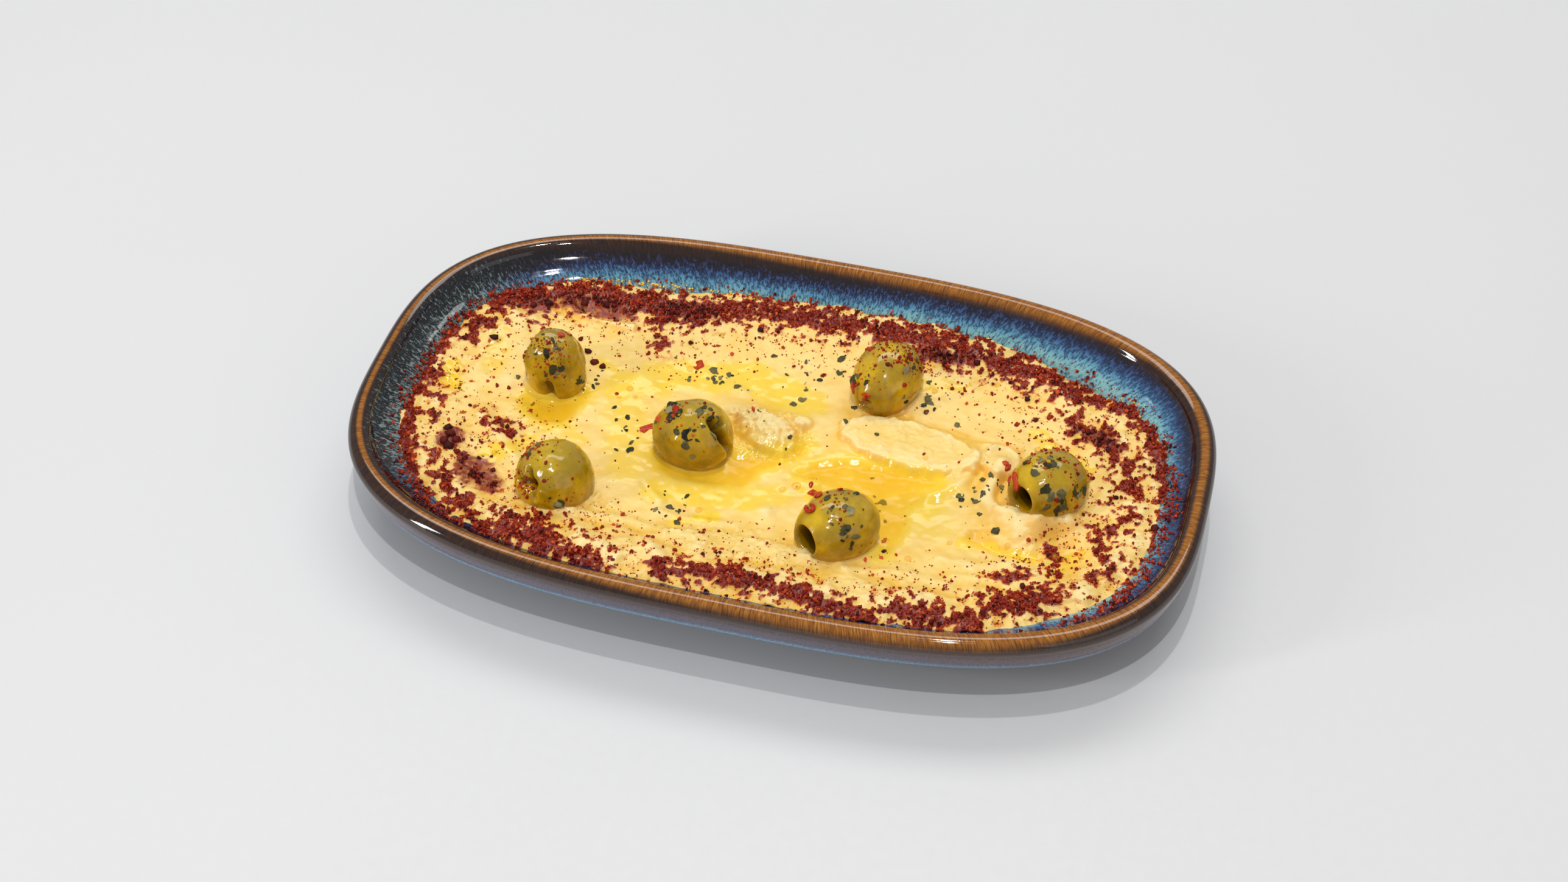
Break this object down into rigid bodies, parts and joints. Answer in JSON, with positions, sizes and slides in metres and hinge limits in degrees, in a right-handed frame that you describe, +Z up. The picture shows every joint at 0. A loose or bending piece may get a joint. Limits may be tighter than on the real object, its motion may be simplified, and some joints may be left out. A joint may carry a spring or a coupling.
{
  "type": "dish of hummus with olives",
  "caption": "Oblong glazed stoneware dish filled with swirled hummus, topped with green olives, pools of olive oil and drifts of sumac.",
  "frame": {"origin": "middle of the dish's foot, on the table", "axes": "+X along the dish, +Y across it, +Z up"},
  "size_m": [0.25, 0.15, 0.0377],
  "materials": {
    "glaze": "glossy blue and brown reactive glaze",
    "hummus": "soft, moist, with an oily sheen",
    "olive": "glossy, oiled",
    "oil": "clear, wet"
  },
  "bodies": {
    "root": {"dish": "glaze", "hummus": "hummus", "olive_1": "olive", "olive_2": "olive", "olive_3": "olive", "olive_4": "olive", "olive_5": "olive", "olive_6": "olive", "oil_centre": "oil", "oil_right": "oil", "oil_left": "oil"}
  },
  "joints": []
}
